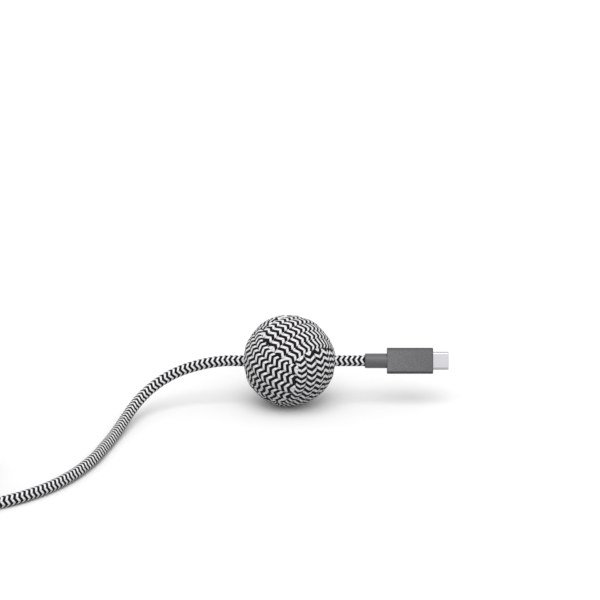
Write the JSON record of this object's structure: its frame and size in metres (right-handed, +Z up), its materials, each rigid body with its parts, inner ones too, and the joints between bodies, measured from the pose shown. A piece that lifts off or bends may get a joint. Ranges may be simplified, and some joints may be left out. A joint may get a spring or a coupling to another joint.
{
  "type": "charging cable",
  "caption": "Braided charging cord with a flat plug on each end and a weighted rope knot that slides and turns on it; spare length wound in a coil.",
  "frame": {"origin": "foot of the rope knot, on the surface that the cable lies on", "axes": "+X along the cord from the knot to the near plug's tip, +Z up from the surface, +Y away from the viewer of the picture"},
  "size_m": [0.2907, 0.153, 0.0414],
  "materials": {
    "braid": "black and white zigzag polyester braid",
    "braided_cord": "the same braid over a rubber jacket and copper wires",
    "housing_plastic": "fine matte grain, dark grey",
    "neck_elastomer": "soft satin, grey",
    "shell_steel": "bright satin nickel plate",
    "carrier_resin": "black moulded resin",
    "contact_gold": "gold plate",
    "latch_steel": "stamped spring steel",
    "board_laminate": "green solder mask",
    "chip_resin": "black moulded package",
    "capacitor_ceramic": "fired ceramic",
    "wire_insulation": "coloured insulation",
    "jacket_rubber": "black extruded jacket",
    "inner_mould_plastic": "white moulded polyethylene",
    "shielding_steel": "tinned sheet",
    "collar_brass": "crimped brass",
    "iron_weight": "bare cast weight",
    "sleeve_nylon": "black nylon"
  },
  "bodies": {
    "cable": {"near_cord_lead": "braided_cord", "cord_run": "braided_cord", "cord_coil": "braided_cord", "cord_tail": "braided_cord", "far_cord_lead": "braided_cord", "near_strain_relief": "neck_elastomer", "near_housing": "housing_plastic", "near_inner_mould": "inner_mould_plastic", "near_shield_can": "shielding_steel", "near_crimp_collar": "collar_brass", "near_inner_jacket": "jacket_rubber", "near_wires": "wire_insulation", "near_circuit_board": "board_laminate", "near_marker_chip": "chip_resin", "near_capacitors": "capacitor_ceramic", "near_contact_carrier": "carrier_resin", "near_upper_contacts": "contact_gold", "near_lower_contacts": "contact_gold", "near_side_latches": "latch_steel", "near_metal_shell": "shell_steel", "far_strain_relief": "neck_elastomer", "far_housing": "housing_plastic", "far_inner_mould": "inner_mould_plastic", "far_shield_can": "shielding_steel", "far_crimp_collar": "collar_brass", "far_inner_jacket": "jacket_rubber", "far_wires": "wire_insulation", "far_circuit_board": "board_laminate", "far_marker_chip": "chip_resin", "far_capacitors": "capacitor_ceramic", "far_contact_carrier": "carrier_resin", "far_upper_contacts": "contact_gold", "far_lower_contacts": "contact_gold", "far_side_latches": "latch_steel", "far_metal_shell": "shell_steel"},
    "sleeve": {"knot_sleeve": "sleeve_nylon"},
    "knot": {"knot_weight": "iron_weight", "knot_first_turns": "braid", "knot_second_turns": "braid", "knot_third_turns": "braid"}
  },
  "joints": [
    {"name": "knot_slide", "type": "slide", "parent": "cable", "child": "sleeve", "axis": [1, 0, 0], "range_m": [-0.006, 0.013]},
    {"name": "knot_spin", "type": "hinge", "parent": "sleeve", "child": "knot", "pos_m": [0, 0, 0.0205], "axis": [1, 0, 0], "continuous": true}
  ]
}
